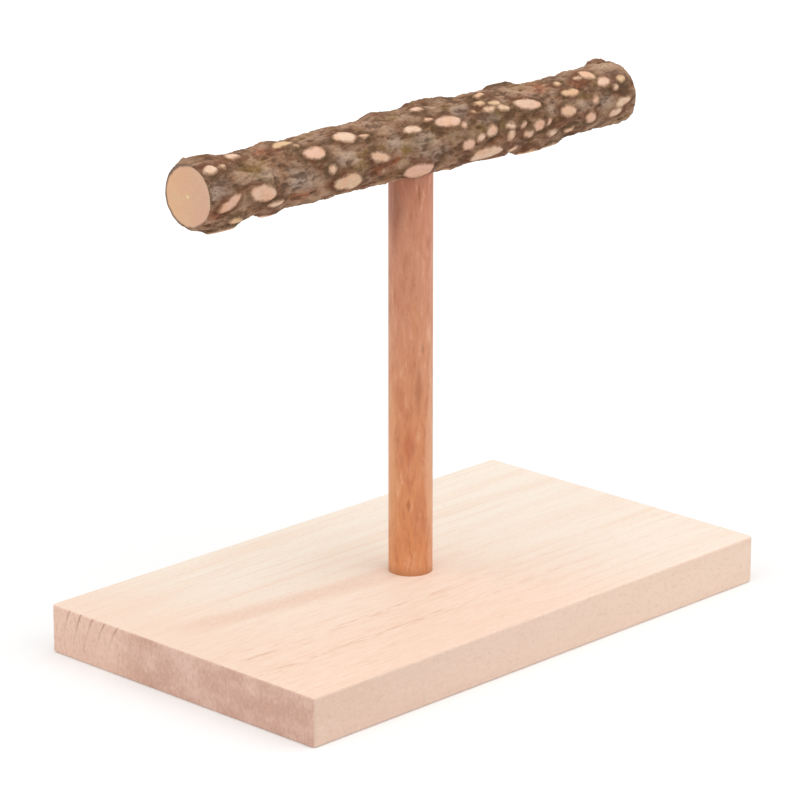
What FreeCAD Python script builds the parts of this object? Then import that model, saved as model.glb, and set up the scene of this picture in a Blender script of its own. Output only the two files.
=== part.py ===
"""Tabletop bird perch: a pine board, a turned beech post and a knobbly prickly-ash branch.

Millimetres, +Z up. The origin is the middle of the board's underside, +X runs along the board and the branch.
The three wooden pieces come apart: a bolt from below holds the post on the board, and the branch
screws down onto a stud in the post's head until the post's top seats in the branch's socket.
"""

import FreeCAD
import Part
import math
import os
from FreeCAD import Rotation, Vector

# Board
BOARD_LENGTH = 230.0
BOARD_WIDTH = 132.0
BOARD_THICKNESS = 18.0
BOARD_CORNER_RADIUS = 1.6
BOARD_EDGE_RADIUS = 0.9

# Post
POST_DIAMETER = 16.0
POST_LENGTH = 160.0
POST_SEAT_DEPTH = 5.0
POST_END_CHAMFER = 0.5

# Branch: its bark between the knobs, and the socket for the post's head, which is a little off its middle
BRANCH_LENGTH = 216.0
BRANCH_DIAMETER = 23.6
NEAR_END_EASE = 0.6
FAR_END_EASE = 1.5
SOCKET_DEPTH = 7.6
SOCKET_SHIFT = 0.7

# Knobs: old prickles, sanded flat. Their roots lie under the bark, and their flanks spread out on the way
KNOB_ROOT = 2.4
KNOB_ROOT_SHARE = 1.7
KNOB_SIDES = 10

# Threaded hardware
THREAD_DIAMETER = 6.0
THREAD_CHAMFER = 0.6
INSERT_DIAMETER = 10.0
INSERT_LENGTH = 10.0
INSERT_SLOT_WIDTH = 1.6
INSERT_SLOT_DEPTH = 1.8
INSERT_RECESS = 0.3
STUD_THREAD_LENGTH = 11.0
STUD_WOOD_LENGTH = 22.0
STUD_WAIST_DIAMETER = 5.2
STUD_WAIST_LENGTH = 3.0
STUD_POINT_LENGTH = 4.0
STUD_POINT_DIAMETER = 0.6
BOLT_LENGTH = 22.0
BOLT_HEAD_DIAMETER = 10.5
BOLT_HEAD_HEIGHT = 3.3
BOLT_HEAD_RIM = 0.8
BOLT_CROWN_DIAMETER = 6.4
BOLT_KEY_WIDTH = 4.0
BOLT_KEY_DEPTH = 2.0
BOLT_HOLE_DIAMETER = 6.6
WASHER_DIAMETER = 18.0
WASHER_THICKNESS = 1.6
COUNTERBORE_DEPTH = 7.0

# Clearances, and the distance that every cut runs past the face it opens
ROUND_CLEARANCE = 0.05
SOCKET_CLEARANCE = 0.15
WASHER_CLEARANCE = 0.5
BORE_SPARE = 1.0
OVERRUN = 1.0

# Bark of the branch, as shares: place along its length and radius there. The first row is the near, -X end.
BARK_SHARES = [
    (-0.500, 0.98),
    (-0.460, 1.02),
    (-0.390, 0.98),
    (-0.150, 0.97),
    (0.000, 1.03),
    (0.150, 1.02),
    (0.310, 0.96),
    (0.460, 0.99),
    (0.500, 0.97),
]

# Knobs on the seen side: place along the branch from the post's axis as a share of its length, clock angle
# from the top towards the front in degrees, then the sanded face's length, width and height above the bark
# as shares of the branch's diameter, and the face's turn from the branch's axis. Front is the -Y side.
KNOB_SHARES = [
    (-0.480, 36, 0.21, 0.15, 0.04, 0),
    (-0.418, 17, 0.23, 0.17, 0.04, 0),
    (-0.462, 96, 0.40, 0.18, 0.05, -28),
    (-0.389, 94, 0.51, 0.26, 0.05, 12),
    (-0.434, 136, 0.28, 0.15, 0.05, 20),
    (-0.354, 121, 0.28, 0.12, 0.04, 0),
    (-0.313, 17, 0.34, 0.14, 0.03, -10),
    (-0.264, 51, 0.40, 0.20, 0.04, 5),
    (-0.185, 35, 0.42, 0.20, 0.04, 8),
    (-0.197, 112, 0.57, 0.27, 0.05, 6),
    (-0.128, 82, 0.36, 0.17, 0.04, 15),
    (-0.044, 52, 0.34, 0.14, 0.04, 4),
    (-0.033, 124, 0.68, 0.29, 0.05, 8),
    (-0.003, 14, 0.23, 0.13, 0.04, 0),
    (0.036, 53, 0.51, 0.19, 0.05, 6),
    (0.076, 97, 0.26, 0.18, 0.04, 5),
    (0.131, 85, 0.26, 0.17, 0.04, -5),
    (0.127, 124, 0.72, 0.27, 0.05, 4),
    (0.147, 14, 0.21, 0.11, 0.03, -15),
    (0.139, 49, 0.23, 0.10, 0.04, 3),
    (0.158, 40, 0.23, 0.10, 0.04, 5),
    (0.172, 52, 0.23, 0.11, 0.04, 12),
    (0.177, 84, 0.23, 0.11, 0.04, 12),
    (0.204, 136, 0.23, 0.15, 0.04, 20),
    (0.225, 107, 0.21, 0.14, 0.04, 15),
    (0.229, 56, 0.51, 0.19, 0.05, 12),
    (0.249, 95, 0.23, 0.19, 0.04, 0),
    (0.286, 117, 0.19, 0.14, 0.05, 10),
    (0.322, 84, 0.35, 0.16, 0.05, 8),
    (0.338, 53, 0.36, 0.13, 0.04, 3),
    (0.334, 123, 0.21, 0.12, 0.04, 5),
    (0.400, 28, 0.26, 0.19, 0.05, 25),
    (0.380, 105, 0.26, 0.19, 0.04, 20),
    (0.424, 49, 0.28, 0.16, 0.05, -8),
    (0.442, 107, 0.28, 0.14, 0.04, -8),
    (0.466, 50, 0.17, 0.13, 0.05, 0),
    (0.459, 90, 0.35, 0.14, 0.04, -12),
    (-0.462, 340, 0.34, 0.18, 0.03, 0),
    (-0.060, 338, 0.30, 0.18, 0.03, 0),
    (0.033, 342, 0.56, 0.24, 0.07, 5),
    (0.090, 334, 0.30, 0.17, 0.05, -6),
    (0.230, 337, 0.42, 0.18, 0.05, 0),
    (0.476, 338, 0.20, 0.16, 0.055, 0),
    (-0.448, 160, 0.50, 0.22, 0.09, 0),
    (-0.347, 158, 0.36, 0.18, 0.06, 6),
    (0.055, 160, 0.25, 0.14, 0.04, 0),
    (0.174, 160, 0.38, 0.18, 0.045, -4),
    (0.258, 158, 0.46, 0.19, 0.09, 0),
    (0.305, 156, 0.48, 0.19, 0.09, 4),
]

# Knobs on the far side: they step along the branch, and each turns on by the golden angle's share of
# the band between two clock angles. Face lengths run between two shares of the branch's diameter.
FAR_KNOBS = 28
FAR_CLOCKS = (184, 316)
FAR_REACH_SHARE = 0.47
FAR_LENGTH_SHARES = (0.20, 0.48)
FAR_WIDTH_SHARE = 0.48
FAR_STAND_SHARE = 0.045
FAR_TURN = 10
GOLDEN_SHARE = 0.618
SILVER_SHARE = 0.414

# Heights that the pieces share
FOOT_HEIGHT = BOARD_THICKNESS - POST_SEAT_DEPTH
HEAD_HEIGHT = FOOT_HEIGHT + POST_LENGTH
BRANCH_RADIUS = BRANCH_DIAMETER / 2
BRANCH_CENTRE = Vector(SOCKET_SHIFT, 0, HEAD_HEIGHT - SOCKET_DEPTH + BRANCH_RADIUS)
BOLT_SEAT = COUNTERBORE_DEPTH - WASHER_THICKNESS
BOLT_TIP = BOLT_SEAT + BOLT_LENGTH
STUD_TIP = HEAD_HEIGHT + STUD_THREAD_LENGTH
STUD_FOOT = HEAD_HEIGHT - STUD_WOOD_LENGTH
SCREW_RADIUS = THREAD_DIAMETER / 2 - ROUND_CLEARANCE

UP = Vector(0, 0, 1)
ALONG = Vector(1, 0, 0)


def cylinder(diameter, low, high):
    """An upright cylinder on the post's axis, between two heights."""
    return Part.makeCylinder(diameter / 2, high - low, Vector(0, 0, low))


def turned(outline):
    """A solid of revolution about the post's axis, from the (radius, height) corners of a closed outline."""
    wire = Part.makePolygon([Vector(radius, 0, height) for radius, height in outline])
    return Part.Face(wire).revolve(Vector(), UP, 360)


def make_board():
    """The board, with eased edges, a seat for the post's foot and a counterbored bolt hole."""
    corner = Vector(-BOARD_LENGTH / 2, -BOARD_WIDTH / 2, 0)
    board = Part.makeBox(BOARD_LENGTH, BOARD_WIDTH, BOARD_THICKNESS, corner)
    upright = [e for e in board.Edges if abs(e.tangentAt(e.FirstParameter).z) > 0.5]
    board = board.makeFillet(BOARD_CORNER_RADIUS, upright)
    rims = [e for e in board.Edges if e.BoundBox.ZLength < BOARD_EDGE_RADIUS]
    board = board.makeFillet(BOARD_EDGE_RADIUS, rims)
    seat = cylinder(POST_DIAMETER + 2 * ROUND_CLEARANCE, FOOT_HEIGHT, BOARD_THICKNESS + OVERRUN)
    hole = cylinder(BOLT_HOLE_DIAMETER, -OVERRUN, BOARD_THICKNESS + OVERRUN)
    counterbore = cylinder(WASHER_DIAMETER + 2 * WASHER_CLEARANCE, -OVERRUN, COUNTERBORE_DEPTH)
    return board.cut([seat, hole, counterbore])


def make_post():
    """The turned post: a bore for the insert in its foot, and one for the stud in its head."""
    radius = POST_DIAMETER / 2
    rod = turned([
        (0, FOOT_HEIGHT),
        (radius - POST_END_CHAMFER, FOOT_HEIGHT),
        (radius, FOOT_HEIGHT + POST_END_CHAMFER),
        (radius, HEAD_HEIGHT - POST_END_CHAMFER),
        (radius - POST_END_CHAMFER, HEAD_HEIGHT),
        (0, HEAD_HEIGHT),
        (0, FOOT_HEIGHT),
    ])
    insert_top = FOOT_HEIGHT + INSERT_RECESS + INSERT_LENGTH
    insert_bore = cylinder(INSERT_DIAMETER + 2 * ROUND_CLEARANCE, FOOT_HEIGHT - OVERRUN, insert_top)
    bolt_bore = cylinder(BOLT_HOLE_DIAMETER, FOOT_HEIGHT, max(BOLT_TIP, insert_top) + BORE_SPARE)
    stud_bore = cylinder(THREAD_DIAMETER, STUD_FOOT, HEAD_HEIGHT + OVERRUN)
    return rod.cut([insert_bore, bolt_bore, stud_bore])


def make_insert(low):
    """A slotted threaded insert whose slotted end faces down, standing on a height."""
    sleeve = cylinder(INSERT_DIAMETER, low, low + INSERT_LENGTH)
    rim = [e for e in sleeve.Edges if e.Closed and e.BoundBox.ZMin > low + INSERT_LENGTH / 2]
    sleeve = sleeve.makeChamfer(THREAD_CHAMFER, rim)
    bore = cylinder(THREAD_DIAMETER, low - OVERRUN, low + INSERT_LENGTH + OVERRUN)
    slot_length = INSERT_DIAMETER + 2 * OVERRUN
    slot_corner = Vector(-slot_length / 2, -INSERT_SLOT_WIDTH / 2, low - OVERRUN)
    slot = Part.makeBox(slot_length, INSERT_SLOT_WIDTH, INSERT_SLOT_DEPTH + OVERRUN, slot_corner)
    return sleeve.cut([bore, slot])


def make_stud():
    """The hanger bolt: a pointed wood thread in the post's head, a waist, and a machine thread above it."""
    tip_radius = SCREW_RADIUS - THREAD_CHAMFER
    return turned([
        (0, STUD_FOOT),
        (STUD_POINT_DIAMETER / 2, STUD_FOOT),
        (SCREW_RADIUS, STUD_FOOT + STUD_POINT_LENGTH),
        (SCREW_RADIUS, HEAD_HEIGHT - STUD_WAIST_LENGTH),
        (STUD_WAIST_DIAMETER / 2, HEAD_HEIGHT - STUD_WAIST_LENGTH),
        (STUD_WAIST_DIAMETER / 2, HEAD_HEIGHT),
        (SCREW_RADIUS, HEAD_HEIGHT),
        (SCREW_RADIUS, STUD_TIP - THREAD_CHAMFER),
        (tip_radius, STUD_TIP),
        (0, STUD_TIP),
        (0, STUD_FOOT),
    ])


def make_bolt():
    """The button-head bolt that goes up through the board into the post's insert."""
    head_radius = BOLT_HEAD_DIAMETER / 2
    head_low = BOLT_SEAT - BOLT_HEAD_HEIGHT
    crown_radius = BOLT_CROWN_DIAMETER / 2
    brow_radius = (head_radius + crown_radius) / 2
    brow_rise = (BOLT_HEAD_HEIGHT - BOLT_HEAD_RIM) / 4
    bolt = turned([
        (0, head_low),
        (crown_radius, head_low),
        (brow_radius, head_low + brow_rise),
        (head_radius, BOLT_SEAT - BOLT_HEAD_RIM),
        (head_radius, BOLT_SEAT),
        (SCREW_RADIUS, BOLT_SEAT),
        (SCREW_RADIUS, BOLT_TIP - THREAD_CHAMFER),
        (SCREW_RADIUS - THREAD_CHAMFER, BOLT_TIP),
        (0, BOLT_TIP),
        (0, head_low),
    ])
    hexagon = Part.makePolygon([
        Rotation(UP, 60 * i).multVec(ALONG) * (BOLT_KEY_WIDTH / math.sqrt(3)) + UP * (head_low - OVERRUN)
        for i in range(7)
    ])
    key = Part.Face(hexagon).extrude(UP * (OVERRUN + BOLT_KEY_DEPTH))
    return bolt.cut(key)


def make_washer():
    """The wide washer between the bolt's head and the roof of the counterbore."""
    disc = cylinder(WASHER_DIAMETER, BOLT_SEAT, COUNTERBORE_DEPTH)
    return disc.cut(cylinder(BOLT_HOLE_DIAMETER, BOLT_SEAT - OVERRUN, COUNTERBORE_DEPTH + OVERRUN))


def bark_radius(along):
    """The bark's radius at a place along the branch, given as a share of its length."""
    for low, high in zip(BARK_SHARES, BARK_SHARES[1:]):
        if along <= high[0]:
            break
    blend = (along - low[0]) / (high[0] - low[0])
    return BRANCH_RADIUS * (low[1] + blend * (high[1] - low[1]))


def make_log():
    """The branch without its knobs: bark turned about the branch's axis, with its cut ends eased."""
    rows = [(along * BRANCH_LENGTH, BRANCH_RADIUS * share) for along, share in BARK_SHARES]
    (near, near_radius), (far, far_radius) = rows[0], rows[-1]
    outline = [(near, 0), (near, near_radius - NEAR_END_EASE), (near + NEAR_END_EASE, near_radius)]
    outline += rows[1:-1]
    outline += [(far - FAR_END_EASE, far_radius), (far, far_radius - FAR_END_EASE), (far, 0), (near, 0)]
    wire = Part.makePolygon([BRANCH_CENTRE + Vector(x, 0, radius) for x, radius in outline])
    return Part.Face(wire).revolve(BRANCH_CENTRE, ALONG, 360)


def make_knob(along, clock, length_share, width_share, stand_share, turn):
    """One old prickle, sanded flat: an oval frustum whose flanks spread out to a root under the bark."""
    angle = math.radians(clock)
    outward = Vector(0, -math.sin(angle), math.cos(angle))
    long_way = Rotation(outward, -turn).multVec(ALONG) * (length_share * BRANCH_DIAMETER / 2)
    short_way = Rotation(outward, 90 - turn).multVec(ALONG) * (width_share * BRANCH_DIAMETER / 2)
    axis_point = Vector(along * BRANCH_LENGTH, 0, BRANCH_CENTRE.z)
    foot = axis_point + outward * bark_radius(along - SOCKET_SHIFT / BRANCH_LENGTH)
    steps = [2 * math.pi * i / KNOB_SIDES for i in range(KNOB_SIDES + 1)]
    oval = [long_way * math.cos(t) + short_way * math.sin(t) for t in steps]
    root = [foot - outward * KNOB_ROOT + corner * KNOB_ROOT_SHARE for corner in oval]
    face = [foot + outward * (stand_share * BRANCH_DIAMETER) + corner for corner in oval]
    return Part.makeLoft([Part.makePolygon(root), Part.makePolygon(face)], True, True)


def far_knob_rows():
    """Rows like those of the seen side, for the side that a viewer in front doesn't see."""
    shortest, longest = FAR_LENGTH_SHARES
    for i in range(FAR_KNOBS):
        along = FAR_REACH_SHARE * (2 * i / (FAR_KNOBS - 1) - 1)
        clock = FAR_CLOCKS[0] + (i * GOLDEN_SHARE) % 1 * (FAR_CLOCKS[1] - FAR_CLOCKS[0])
        length = shortest + (i * SILVER_SHARE) % 1 * (longest - shortest)
        turn = FAR_TURN * math.sin(i)
        yield along, clock, length, length * FAR_WIDTH_SHARE, FAR_STAND_SHARE, turn


def make_branch():
    """The branch: its log and knobs, sawn square, with bores for the post's head, the insert and the stud."""
    knobs = [make_knob(*row) for row in [*KNOB_SHARES, *far_knob_rows()]]
    saw_corner = BRANCH_CENTRE - Vector(BRANCH_LENGTH / 2, BRANCH_DIAMETER, BRANCH_DIAMETER)
    sawn = Part.makeBox(BRANCH_LENGTH, 2 * BRANCH_DIAMETER, 2 * BRANCH_DIAMETER, saw_corner)
    branch = make_log().multiFuse(knobs).common(sawn)
    insert_top = HEAD_HEIGHT + INSERT_RECESS + INSERT_LENGTH
    socket = cylinder(POST_DIAMETER + 2 * SOCKET_CLEARANCE, HEAD_HEIGHT - BRANCH_DIAMETER, HEAD_HEIGHT)
    insert_bore = cylinder(INSERT_DIAMETER + 2 * ROUND_CLEARANCE, HEAD_HEIGHT - OVERRUN, insert_top)
    stud_bore = cylinder(BOLT_HOLE_DIAMETER, HEAD_HEIGHT - OVERRUN, max(STUD_TIP, insert_top) + BORE_SPARE)
    return branch.cut([socket, insert_bore, stud_bore])


def main():
    """Builds every piece and writes one STEP file each."""
    pieces = {
        "base_board": make_board(),
        "base_bolt": make_bolt(),
        "base_washer": make_washer(),
        "post": make_post(),
        "post_insert": make_insert(FOOT_HEIGHT + INSERT_RECESS),
        "perch_stud": make_stud(),
        "perch_insert": make_insert(HEAD_HEIGHT + INSERT_RECESS),
        "perch_branch": make_branch(),
    }
    os.makedirs("parts", exist_ok=True)
    for name, shape in pieces.items():
        shape.exportStep(f"parts/{name}.step")
        print(name, len(shape.Solids), "solid,", round(shape.Volume), "mm3, valid", shape.isValid())


main()
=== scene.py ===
"""Looks of the tabletop bird perch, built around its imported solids.

Blender works in metres and the sizes here are written in millimetres. The frame is the solids' own:
+Z up, +X along the board and the branch, -Y the front.
"""

import math

import bmesh
import bpy
import numpy as np
from mathutils import Matrix, Vector, noise
from mathutils.bvhtree import BVHTree


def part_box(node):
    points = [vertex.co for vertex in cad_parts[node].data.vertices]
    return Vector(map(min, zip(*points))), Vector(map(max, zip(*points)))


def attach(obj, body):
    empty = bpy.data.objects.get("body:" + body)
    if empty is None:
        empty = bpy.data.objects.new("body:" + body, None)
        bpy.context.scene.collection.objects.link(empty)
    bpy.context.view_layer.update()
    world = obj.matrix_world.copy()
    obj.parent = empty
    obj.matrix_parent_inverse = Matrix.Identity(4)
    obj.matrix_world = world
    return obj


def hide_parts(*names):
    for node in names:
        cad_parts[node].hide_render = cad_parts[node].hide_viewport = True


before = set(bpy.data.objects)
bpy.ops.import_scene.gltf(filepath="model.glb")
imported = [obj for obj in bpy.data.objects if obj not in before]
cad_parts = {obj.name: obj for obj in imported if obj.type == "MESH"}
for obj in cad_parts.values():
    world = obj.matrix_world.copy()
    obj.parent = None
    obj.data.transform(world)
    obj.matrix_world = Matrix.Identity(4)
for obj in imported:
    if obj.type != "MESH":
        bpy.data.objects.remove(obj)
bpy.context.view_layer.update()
MM = 0.001

# Camera, fitted to the photo: its direction, distance and focal length, and how far the frame's origin
# lies right of and above the picture's middle
CAMERA_AZIMUTH = -45.936
CAMERA_ELEVATION = 17.321
CAMERA_DISTANCE = 1503.0
CAMERA_FOCAL_PX = 4126.8
PICTURE_PX = 800
SENSOR_WIDTH = 36.0
ORIGIN_RIGHT = 3.80
ORIGIN_UP = -78.52

# Studio light
AMBIENT = 0.52
KEY_POWER = 15.1
KEY_SIZE = 2000.0
KEY_PLACE = (330.0, -580.0, 1420.0)
FILL_POWER = 5.9
FILL_SIZE = 1600.0
FILL_PLACE = (-1000.0, 330.0, 1050.0)
FLOOR_COLOUR = (231, 231, 231)
FLOOR_GLOW_NEAR = 0.22
FLOOR_GLOW_FAR = 0.48
FLOOR_GLOW_REACH = (180.0, 900.0)
FLOOR_SIZE = 9000.0
FLOOR_DROP = 0.05

# Branch mesh: its grid, the radius that its patches and its map take, and the distance within which
# points lie in one plane
GRID_ALONG = 0.47
GRID_AROUND = 190
CAP_RINGS = 20
MEAN_RADIUS = 12.0
SAME_PLANE = 0.01

# Rays that measure the solid's bark between the knobs: the radius where they start, their clock angles
# in radians, their number, the percentile of the depths they meet, and how far they keep from the ends
RAY_START = 40.0
RAY_CLOCKS = (-1.9, 2.4)
RAY_COUNT = 40
RAY_PERCENTILE = 25
RAY_INSET = 0.05

# Test for a sanded face among the solid's triangles
FACE_TILT_MOST = 0.0008
FACE_RADIAL_LEAST = 0.85
FACE_STAND_LEAST = 0.45
SAME_CLOCK = 0.006
SAME_DEPTH = 0.04
SAME_PLACE = 18.0

# Knobs: how far one reaches along and around the branch, its random draws, the waves in its face's
# outline and its flanks, the flanks' width, the blend of knobs that meet, and the faces' tint
KNOB_REACH = 10.0
KNOB_SPREAD = 1.2
KNOB_SEED = 7
KNOB_DRAWS = 8
WAVE_TURN = 3
NEVER_ZERO = 1e-6
FACE_WAVES = (0.05, 0.07, 0.02)
FACE_ROUND = 0.8
FACE_SPREAD = 1.1
FLANK_LEAST = 2.4
FLANK_SHARE = 0.75
FLANK_ALONG = 0.45
FLANK_WAVES = (0.22, 0.12)
BLEND_POWER = 4
END_REACH = 2.6
FAR_FROM_KNOBS = -6.0
TINT_MIDDLE = 0.52
TINT_REACH = 16.0

# Knobs on the top of the outline, which keep their bark: their clock angles, the place where they start,
# and how far outside a sanded face they count as lying
BARK_LEFT_CLOCKS = (-30.0, -14.0)
BARK_LEFT_FROM = -50.0
BARK_LEFT = -1.2

# Bark relief: height, then the length of one wave along and around the branch
SWELL = (0.40, 20.0, 11.0)
LUMP = (0.60, 7.0, 5.0)
RIDGE = (0.32, 6.0, 2.4)
GRIT = (0.14, 1.7, 1.2)
RIDGE_SHARPNESS = 2.4
RIDGE_MIDDLE = 0.5
RELIEF_FROM_FACE = 0.9
RELIEF_AT_ENDS = 0.25

# Noise of the relief: the fall in height and the step in size from one octave to the next, the octaves,
# and the shift between one kind of wave and the next
OCTAVES = (0.9, 2.0, 3)
WAVE_SHIFT = 17.3

# Swellings and hollows of the branch's outline: place along the branch from the post's axis, clock angle
# from the top towards the front, half length, half width and height
SWELLINGS = [
    (-103, 336, 7, 9, 0.3),
    (-90, 336, 5, 9, -1.0),
    (-68, 336, 3, 9, 0.6),
    (-62, 336, 3, 9, -0.6),
    (-40, 336, 3, 9, 0.4),
    (-18, 336, 5, 9, 0.4),
    (15, 336, 3, 9, -0.4),
    (26, 336, 5, 9, -0.7),
    (64, 336, 7, 9, -0.9),
    (79, 336, 3, 9, -0.6),
    (91, 336, 3, 9, -0.5),
    (102, 336, 3, 9, 0.4),
    (-108, 156, 7, 9, -0.4),
    (-80, 156, 3, 9, -0.4),
    (-69, 156, 3, 9, -0.6),
    (-50, 156, 10, 9, 0.4),
    (-21, 156, 3, 9, -0.5),
    (11, 156, 4, 9, -0.7),
    (19, 156, 3, 9, 0.5),
    (29, 156, 9, 9, -0.5),
    (47, 156, 3, 9, -0.7),
    (60, 156, 9, 9, 0.3),
    (73, 156, 3, 9, -0.5),
    (79, 156, 4, 9, 0.5),
]

# Prickles too small for the solids: place along the branch from the post's axis, clock angle from the
# top towards the front, face length, face width and turn
SMALL_KNOBS = [
    (-98.2, 35, 2.6, 1.7, -10),
    (-63.2, 15, 3.0, 1.4, 0),
    (-61.7, 27, 2.0, 1.2, 0),
    (-50.9, 84, 3.4, 2.8, 0),
    (-31.3, 40, 4.6, 1.0, 6),
    (0.1, 41, 4.2, 1.7, 4),
    (15.4, 64, 3.0, 2.0, 0),
    (22.4, 46, 2.2, 1.1, 0),
    (22.7, 91, 4.4, 2.9, -20),
    (28.0, 33, 4.2, 2.2, 0),
    (39.0, 100, 3.6, 4.4, 0),
    (45.7, 88, 3.2, 2.2, -15),
    (59.4, 93, 1.9, 2.2, 0),
    (70.4, 29, 3.0, 1.9, -8),
    (81.0, 28, 3.4, 1.8, 0),
    (84.9, 77, 3.3, 2.8, 0),
    (96.6, 63, 2.4, 1.9, 0),
    (-96.0, 250, 2.8, 1.8, 0),
    (-78.0, 300, 2.2, 1.4, 0),
    (-66.0, 215, 3.2, 2.0, 10),
    (-50.0, 285, 2.6, 1.7, 0),
    (-27.0, 224, 3.2, 2.2, -10),
    (-9.0, 303, 2.6, 1.5, 5),
    (15.0, 204, 2.4, 1.8, 0),
    (31.0, 264, 3.4, 2.2, 0),
    (54.0, 236, 2.4, 1.6, 10),
    (73.0, 292, 3.0, 1.8, 0),
    (97.0, 214, 2.6, 2.0, 0),
]
SMALL_STAND = 0.7

# Patches of grey bark and of reddish bark: place, clock angle, half length, half width
COOL_PATCHES = [
    (-104, 70, 6, 5),
    (-80, 66, 6, 3),
    (-65, 91, 9, 5),
    (-43, 73, 6, 3),
    (-19, 66, 4, 3),
    (-6, 72, 7, 4),
    (3, 95, 9, 4),
    (18, 40, 5, 3),
    (27, 66, 7, 3),
    (61, 76, 5, 4),
    (78, 80, 5, 3),
    (90, 84, 5, 3),
    (100, 44, 5, 4),
    (-87, 216, 8, 4),
    (-46, 252, 7, 4),
    (-14, 288, 6, 3),
    (24, 232, 8, 4),
    (60, 274, 6, 4),
    (93, 242, 6, 3),
]
WARM_PATCHES = [
    (-104, 128, 6, 4),
    (-76, 22, 8, 3),
    (-63, 120, 9, 3),
    (-43, 44, 8, 3),
    (-20, 93, 4, 3),
    (-30, 108, 7, 3),
    (31, 103, 6, 3),
    (62, 27, 8, 4),
    (82, 37, 8, 3),
    (-99, 282, 6, 3),
    (-62, 204, 8, 3),
    (-30, 242, 6, 3),
    (8, 258, 7, 3),
    (43, 300, 8, 3),
    (76, 214, 7, 3),
]

# Map for the branch's baked colours: its scale, the split of the bark into two strips, and where the
# ends and the bores lie
MAP_SCALE = 1 / 165
MAP_MARGIN = 0.01
MAP_STRIP = 0.49
MAP_ENDS = ((0.84, 0.12), (0.84, 0.30))
MAP_FLOORS = (0.84, 0.47)
MAP_WALLS = (0.70, 0.58, 0.28)

# Bores in the branch
SOCKET_CLEARANCE = 0.15
BORE_CLEARANCE = 0.05
STUD_BORE_RADIUS = 3.3
STUD_BORE_SPARE = 1.0
BORE_SIDES = 96
MOUTH_SPARE = 5.0
BORE_MARGIN_ROUND = 0.02
BORE_MARGIN_UP = 0.1

# Stud: its threads' pitches and depths, its plain waist below the post's head, its point and its tip
MACHINE_PITCH = 1.0
MACHINE_DEPTH = 0.55
WOOD_PITCH = 2.4
WOOD_DEPTH = 0.8
WOOD_FLANK = 1.5
WAIST_LENGTH = 3.0
WAIST_RADIUS = 2.6
POINT_LENGTH = 4.0
POINT_START = 0.15
TIP_CHAMFER = 0.6
STUD_EASE = 0.05
STUD_SIDES = 40
STUD_STEP = 0.12

# Pine board: the pith's place (y, z), the width of one growth ring, and the rings' start
PITH = (-6.0, -9.0)
RING_WIDTH = 5.5
RING_START = 0.55

# Figures in the wood on the post's front left, among them painted light and shade: painted shade at the
# top left under the branch, and a painted highlight along each of the post's two outlines. The way to the
# right across them (x, y), and for each one its middle's height and place to the right, half its height,
# half its width, strength and colour
FIGURE_RIGHT = (0.70, -0.72)
FIGURES_AND_PAINTED_LIGHT = [
    # Painted shade under the branch at the post's top left
    (154.0, -5.6, 20.0, 4.2, 0.50, (142, 88, 64)),
    # Figures in the wood
    (160.0, 3.0, 6.0, 0.9, 0.60, (150, 94, 52)),
    (116.0, 1.5, 14.0, 2.2, 0.35, (226, 160, 112)),
    (103.0, 4.3, 3.6, 0.8, 0.42, (138, 82, 56)),
    (88.0, 2.8, 13.0, 2.2, 0.52, (168, 100, 60)),
    # Painted highlights along the post's left and right outlines
    (58.0, -6.8, 64.0, 3.0, 0.60, (232, 172, 122)),
    (58.0, 7.0, 76.0, 2.8, 0.60, (236, 182, 144)),
    # Figures in the wood
    (67.0, -0.7, 10.0, 3.4, 0.55, (190, 94, 54)),
    (45.0, -0.8, 3.4, 1.0, 0.60, (160, 80, 48)),
]


def srgb(red, green, blue):
    """A colour written as it shows on a screen, 0 to 255, in the linear values that shaders take."""
    channels = [c / 255 for c in (red, green, blue)]
    linear = [c / 12.92 if c <= 0.04045 else ((c + 0.055) / 1.055) ** 2.4 for c in channels]
    return (*linear, 1.0)


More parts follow.
